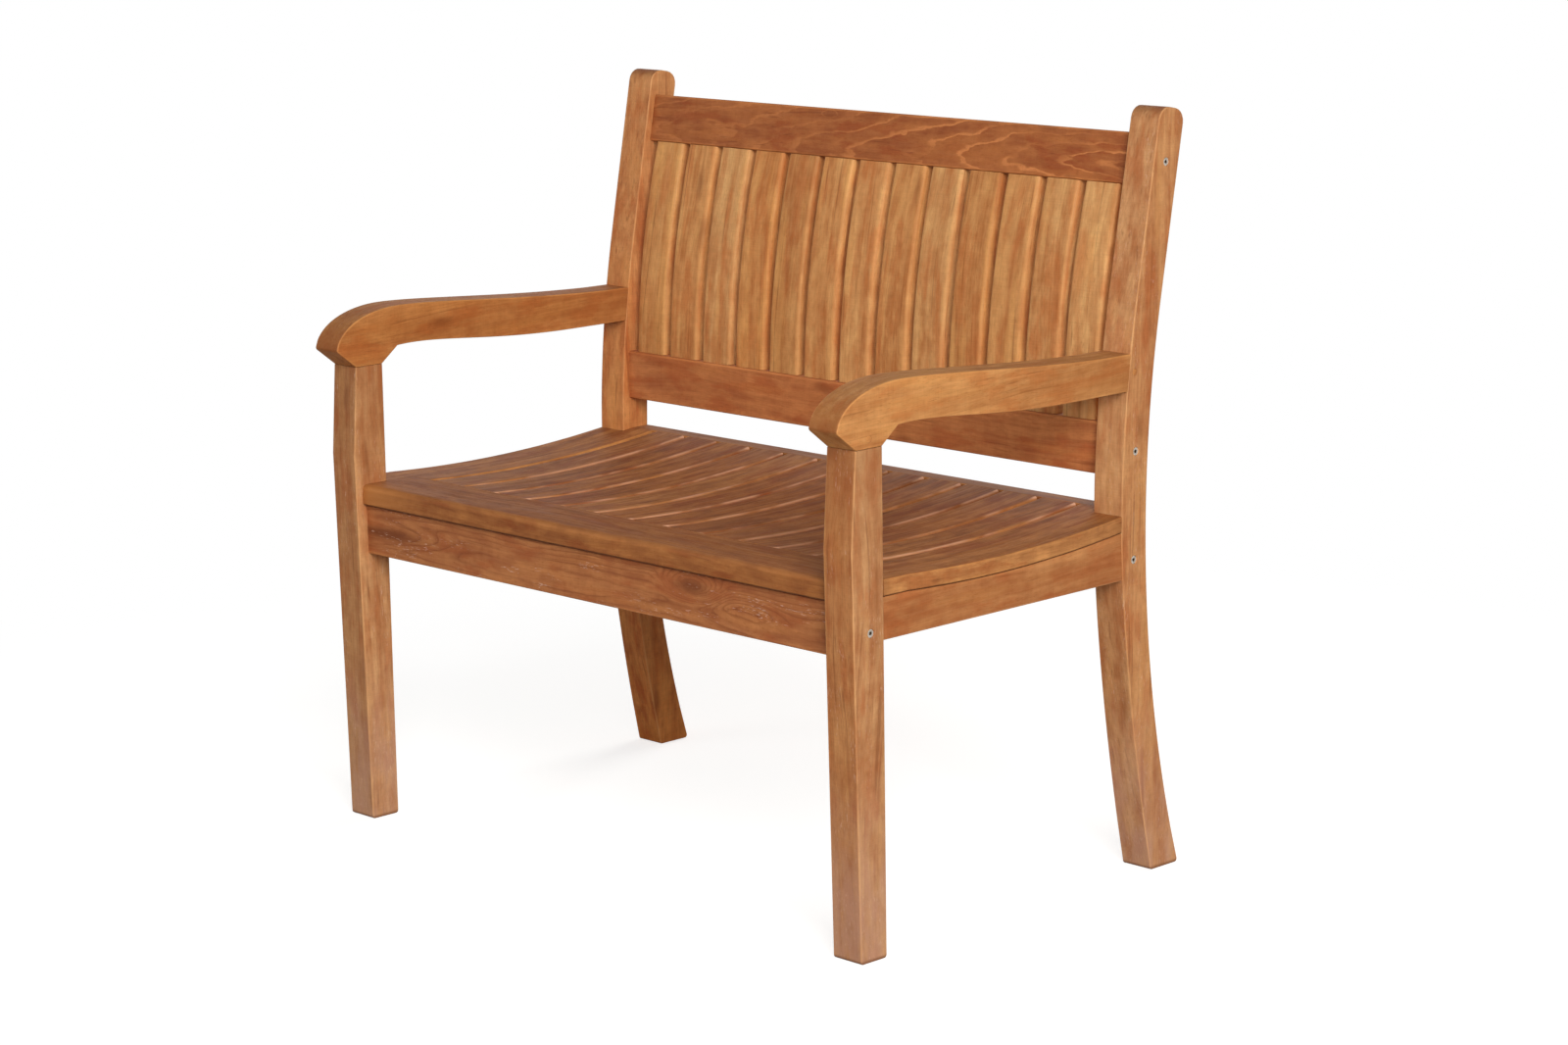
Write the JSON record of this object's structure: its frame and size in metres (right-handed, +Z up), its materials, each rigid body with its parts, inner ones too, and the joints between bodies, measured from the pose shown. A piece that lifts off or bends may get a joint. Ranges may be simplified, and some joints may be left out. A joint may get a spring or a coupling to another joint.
{
  "type": "garden bench",
  "caption": "Wooden two-seat garden bench with scroll-nosed arms, a slatted back between two rails and a scooped slatted seat.",
  "frame": {"origin": "on the ground under the middle of the bench's overall box", "axes": "+X to the right of someone facing the bench from the front, -Y towards the front, +Z up"},
  "size_m": [0.956, 0.607, 0.9584],
  "materials": {
    "leg_teak": "sanded, unfinished teak, honey brown",
    "arm_teak": "sanded, unfinished teak, honey brown",
    "rail_teak": "sanded, unfinished teak, red brown",
    "seat_teak": "sanded, unfinished teak, darkened by light and rain",
    "back_teak": "sanded, unfinished teak, pale tan",
    "bolt_steel": "dull stainless steel"
  },
  "bodies": {
    "root": {"front_leg_left": "leg_teak", "front_leg_right": "leg_teak", "rear_leg_left": "leg_teak", "rear_leg_right": "leg_teak", "front_rail": "rail_teak", "rear_seat_rail": "rail_teak", "side_rail_left": "rail_teak", "side_rail_right": "rail_teak", "seat_bearer": "rail_teak", "seat_front_board": "seat_teak", "seat_back_board": "seat_teak", "seat_end_board_left": "seat_teak", "seat_end_board_right": "seat_teak", "seat_slat_01": "seat_teak", "seat_slat_02": "seat_teak", "seat_slat_03": "seat_teak", "seat_slat_04": "seat_teak", "seat_slat_05": "seat_teak", "seat_slat_06": "seat_teak", "seat_slat_07": "seat_teak", "seat_slat_08": "seat_teak", "seat_slat_09": "seat_teak", "seat_slat_10": "seat_teak", "seat_slat_11": "seat_teak", "seat_slat_12": "seat_teak", "armrest_left": "arm_teak", "armrest_right": "arm_teak", "top_back_rail": "rail_teak", "lower_back_rail": "rail_teak", "back_slat_01": "back_teak", "back_slat_02": "back_teak", "back_slat_03": "back_teak", "back_slat_04": "back_teak", "back_slat_05": "back_teak", "back_slat_06": "back_teak", "back_slat_07": "back_teak", "back_slat_08": "back_teak", "back_slat_09": "back_teak", "back_slat_10": "back_teak", "back_slat_11": "back_teak", "back_slat_12": "back_teak", "back_slat_13": "back_teak", "rail_bolts": "bolt_steel", "arm_pegs": "arm_teak", "seat_screws": "bolt_steel"}
  },
  "joints": []
}
